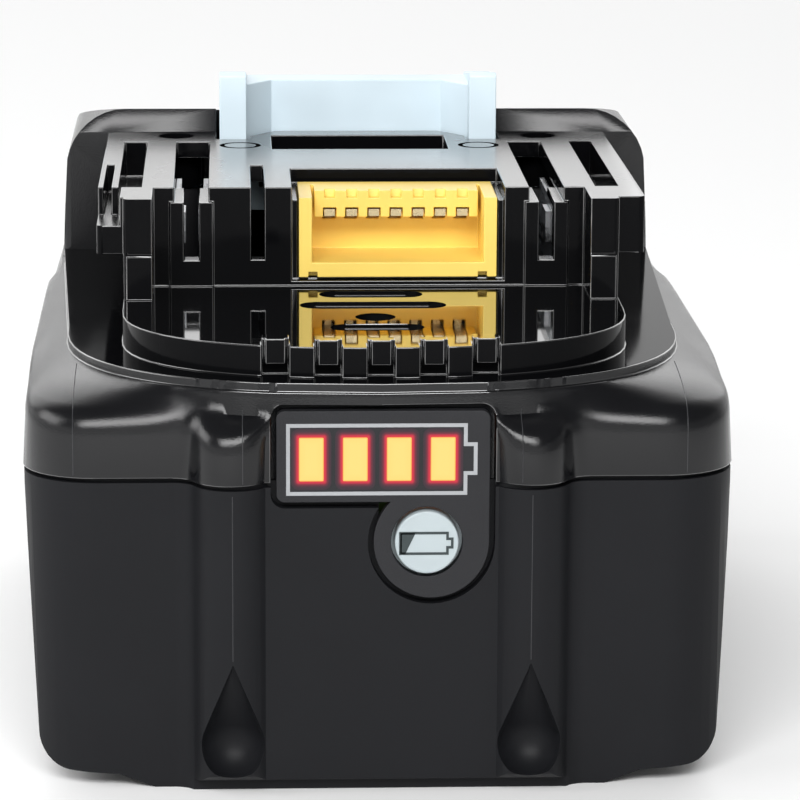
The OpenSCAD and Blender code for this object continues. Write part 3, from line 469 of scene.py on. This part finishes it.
def prism(name, loop, near, far, mat, body, at):
    """Plate with a front view outline of (x, z) points, from near to far along y."""
    n = len(loop)
    points = [(x, y, z) for y in (near, far) for x, z in loop]
    sides = [(i, (i + 1) % n, n + (i + 1) % n, n + i) for i in range(n)]
    return piece(name, points, [tuple(range(n)), tuple(range(n, 2 * n))] + sides, mat, body, at)


def ring(name, outer, inner, near, far, mat, body, at):
    """Plate with a front view outline and a hole, whose outlines have the same number of points."""
    n = len(outer)
    points = [(x, y, z) for y in (near, far) for loop in (outer, inner) for x, z in loop]
    faces = []
    for i in range(n):
        k = (i + 1) % n
        faces += [(i, k, n + k, n + i), (2 * n + i, 2 * n + k, 3 * n + k, 3 * n + i),
                  (i, k, 2 * n + k, 2 * n + i), (n + i, n + k, 3 * n + k, 3 * n + i)]
    return piece(name, points, faces, mat, body, at)


def rounded(half_width, half_height, r, steps=4):
    """Rounded rectangle about the origin."""
    loop = []
    for sx, sz, start in ((1, 1, 0), (-1, 1, 90), (-1, -1, 180), (1, -1, 270)):
        for i in range(steps + 1):
            a = math.radians(start + 90 * i / steps)
            loop.append((sx * (half_width - r) + r * math.cos(a), sz * (half_height - r) + r * math.sin(a)))
    return loop


def battery_outline(size, inset):
    """Outline of a battery sign with a nub on its right, from sizes in millimetres and moved in by inset."""
    left, right = size["left"] + inset, size["right"] - inset
    low, high = size["low"] + inset, size["high"] - inset
    nub, nub_low, nub_high = size["nub"] - inset, size["nub_low"] + inset, size["nub_high"] - inset
    corners = [(left, low), (right, low), (right, nub_low), (nub, nub_low), (nub, nub_high),
               (right, nub_high), (right, high), (left, high)]
    return [(x * MM, z * MM) for x, z in corners]


def battery_sign(name, size, line, near, far, mat, body, at):
    """Printed outline of a battery with lines of a width in millimetres."""
    return ring(name, battery_outline(size, 0), battery_outline(size, line), near, far, mat, body, at)


print_proud = 0.03 * MM
print_sunk = 0.1 * MM
panel_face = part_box("gauge_panel")[0].y - windows_mid.y
print_near, print_far = panel_face - print_proud, panel_face + print_sunk
outline_size = {"left": -9.53, "right": 9.46, "low": -3.89, "high": 3.80,
                "nub": 10.51, "nub_low": -1.75, "nub_high": 1.75}
battery_sign("gauge_outline", outline_size, 0.4, print_near, print_far,
             PRINT, "case", windows_mid)

window_loop = rounded(window_width / 2, window_height / 2, 0.2 * MM)
# outline of the painted light spill on the panel around a window
painted_spill_loop = rounded(2.1 * MM, 3.3 * MM, 0.8 * MM)
half_depth = (windows_high.y - windows_low.y) / 2
for k in range(window_count):
    middle = Vector((windows_low.x + window_width / 2 + k * window_pitch, windows_mid.y, windows_mid.z))
    lit = prism(f"light_window_{k + 1}", window_loop, -half_depth, half_depth,
                LIT, "case", middle)
    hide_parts("gauge_windows")
    # painted light spill: emissive ring on the panel around this window
    ring(f"painted_light_spill_{k + 1}", painted_spill_loop, window_loop, print_near, print_far,
         PAINTED_SPILL, "case", middle)

button_low, button_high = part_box("check_button")
button_mid = (button_low + button_high) / 2
button_face = button_low.y - button_mid.y
sign_near, sign_far = button_face - print_proud, button_face + print_sunk
sign_size = {"left": -2.93, "right": 2.3, "low": -1.32, "high": 1.18,
             "nub": 2.8, "nub_low": -0.65, "nub_high": 0.55}
sign_level = [(x * MM, z * MM) for x, z in ((-2.8, -1.2), (-2.26, -1.2), (-1.2, 1.06), (-2.8, 1.06))]
battery_sign("button_sign", sign_size, 0.28, sign_near, sign_far,
             DARK_PRINT, "button", button_mid)
prism("button_sign_level", sign_level, sign_near, sign_far,
      DARK_PRINT, "button", button_mid)


# mould lines on the front of the shells: real fine ridges, coloured a lighter grey as painted highlight

line_half_width = 0.07 * MM
line_height = 0.05 * MM
line_sunk = 0.02 * MM
line_steps = 60
front_clear = 50 * MM


def mould_line(name, shell, x, low, high):
    """Fine ridge up the front of a shell at one x, over levels from low to high."""
    corners = [v.co for v in shell.data.vertices]
    skin = BVHTree.FromPolygons(corners, [p.vertices for p in shell.data.polygons])
    rows = []
    for i in range(line_steps + 1):
        start = Vector((x, rest_low.y - front_clear, low + (high - low) * i / line_steps))
        spot, normal, _, _ = skin.ray_cast(start, Vector((0, 1, 0)))
        if spot is None:
            continue
        side = Vector((1, 0, 0)) - normal * normal.x
        side.normalize()
        out = side * line_half_width
        foot = spot - normal * line_sunk
        rows.append([foot - out, spot + normal * line_height, foot + out])
    points = [p for row in rows for p in row]
    faces = [(3 * i + a, 3 * i + b, 3 * i + 3 + b, 3 * i + 3 + a)
             for i in range(len(rows) - 1) for a, b in ((0, 1), (1, 2), (2, 0))]
    faces += [(0, 1, 2), tuple(len(points) - 3 + i for i in range(3))]
    return piece(name, points, faces, LINE, "case")


corner_x = 32.4 * MM
lobe_x = 14.6 * MM
pillar_x = 15.7 * MM
skirt_start = upper_low + 0.3 * MM
for side, s in (("left", -1), ("right", 1)):
    mould_line(f"corner_mould_line_{side}", upper, s * corner_x, skirt_start, ledge_z - 0.1 * MM)
    mould_line(f"lobe_mould_line_{side}", upper, s * lobe_x, skirt_start, ledge_z - 2.0 * MM)
    mould_line(f"pillar_mould_line_{side}", lower, s * pillar_x, rest_low.z + 15 * MM, upper_low - 1.0 * MM)


# stage

light_aim = Vector((0, 0, 0.04))


def softbox(name, azimuth, elevation, distance, width, height, radiance):
    """Area light aimed at the object. Azimuth 0 is in front and 90 is to the left."""
    turn, rise = math.radians(azimuth), math.radians(elevation)
    ahead = Vector((-math.sin(turn) * math.cos(rise), -math.cos(turn) * math.cos(rise), math.sin(rise)))
    data = bpy.data.lights.new(name, "AREA")
    data.shape = "RECTANGLE"
    data.size = width
    data.size_y = height
    data.energy = radiance * math.pi * width * height
    obj = bpy.data.objects.new(name, data)
    bpy.context.collection.objects.link(obj)
    obj.location = ahead * distance
    obj.rotation_euler = (light_aim - obj.location).to_track_quat("-Z", "Y").to_euler()


softbox("key softbox", azimuth=7, elevation=38, distance=1.0, width=0.8, height=0.36, radiance=10.4)
softbox("left softbox", azimuth=85, elevation=30, distance=1.0, width=0.6, height=0.4, radiance=4.5)
softbox("rear softbox", azimuth=172, elevation=36, distance=1.3, width=2.4, height=0.8, radiance=1.3)


def studio_world():
    """Soft surroundings: white along the horizon and behind the object, dark overhead and high in front."""
    world = bpy.data.worlds.new("studio")
    bpy.context.scene.world = world
    world.use_nodes = True
    tree = world.node_tree
    link = tree.links.new
    coords = tree.nodes.new("ShaderNodeTexCoord")
    axes = tree.nodes.new("ShaderNodeSeparateXYZ")
    link(coords.outputs["Generated"], axes.inputs["Vector"])

    def ramp(axis, dark_at, white_at, dark=0.1):
        step = tree.nodes.new("ShaderNodeMapRange")
        step.interpolation_type = "SMOOTHSTEP"
        step.inputs["From Min"].default_value = dark_at
        step.inputs["From Max"].default_value = white_at
        step.inputs["To Min"].default_value = dark
        step.inputs["To Max"].default_value = 1.0
        link(axes.outputs[axis], step.inputs["Value"])
        return step.outputs["Result"]

    def pick(operation, a, b):
        choice = tree.nodes.new("ShaderNodeMath")
        choice.operation = operation
        link(a, choice.inputs[0])
        link(b, choice.inputs[1])
        return choice.outputs["Value"]

    overhead = ramp("Z", dark_at=0.42, white_at=0.2)
    right_side = ramp("X", dark_at=0.85, white_at=0.35, dark=0.3)
    behind = ramp("Y", dark_at=0.25, white_at=0.7)
    background = tree.nodes["Background"]
    link(pick("MAXIMUM", pick("MINIMUM", overhead, right_side), behind), background.inputs["Strength"])
    background.inputs["Color"].default_value = (1, 1, 1, 1)


def pale_floor(half=4.0):
    """Large pale floor under the object."""
    mesh = bpy.data.meshes.new("floor")
    corners = [(-half, -half, 0), (half, -half, 0), (half, half, 0), (-half, half, 0)]
    mesh.from_pydata(corners, [], [(0, 1, 2, 3)])
    obj = bpy.data.objects.new("floor", mesh)
    bpy.context.collection.objects.link(obj)
    mat, tree, shader = new_material("floor")
    shader.inputs["Base Color"].default_value = (0.97, 0.97, 0.97, 1)
    shader.inputs["Roughness"].default_value = 0.6
    add_grain(tree, shader, scale=300.0, strength=0.05)
    mesh.materials.append(mat)


studio_world()
pale_floor()


# camera, fitted to the photograph

photo_width_px = 800
sensor_width_mm = 36.0


def camera(focal_px, x, back_off, height, pitch, yaw, roll):
    """Camera at a place in millimetres, turned by angles in degrees."""
    pitch, yaw, roll = math.radians(pitch), math.radians(yaw), math.radians(roll)
    ahead = Vector((math.sin(yaw) * math.cos(pitch), math.cos(yaw) * math.cos(pitch), -math.sin(pitch)))
    right = Vector((math.cos(yaw), -math.sin(yaw), 0))
    down = ahead.cross(right)
    tilted_right = right * math.cos(roll) + down * math.sin(roll)
    tilted_down = down * math.cos(roll) - right * math.sin(roll)
    data = bpy.data.cameras.new("photo camera")
    data.sensor_width = sensor_width_mm
    data.lens = focal_px / photo_width_px * sensor_width_mm
    data.clip_start = 0.01
    data.clip_end = 20.0
    obj = bpy.data.objects.new("photo camera", data)
    bpy.context.collection.objects.link(obj)
    turn = Matrix((tilted_right, -tilted_down, -ahead)).transposed()
    obj.matrix_world = Matrix.Translation(place(x, -back_off, height)) @ turn.to_4x4()
    bpy.context.scene.camera = obj


camera(focal_px=3939.08, x=-16.604, back_off=399.137, height=129.473, pitch=12.202, yaw=2.629, roll=-0.29)
bpy.context.scene.view_settings.view_transform = "Standard"
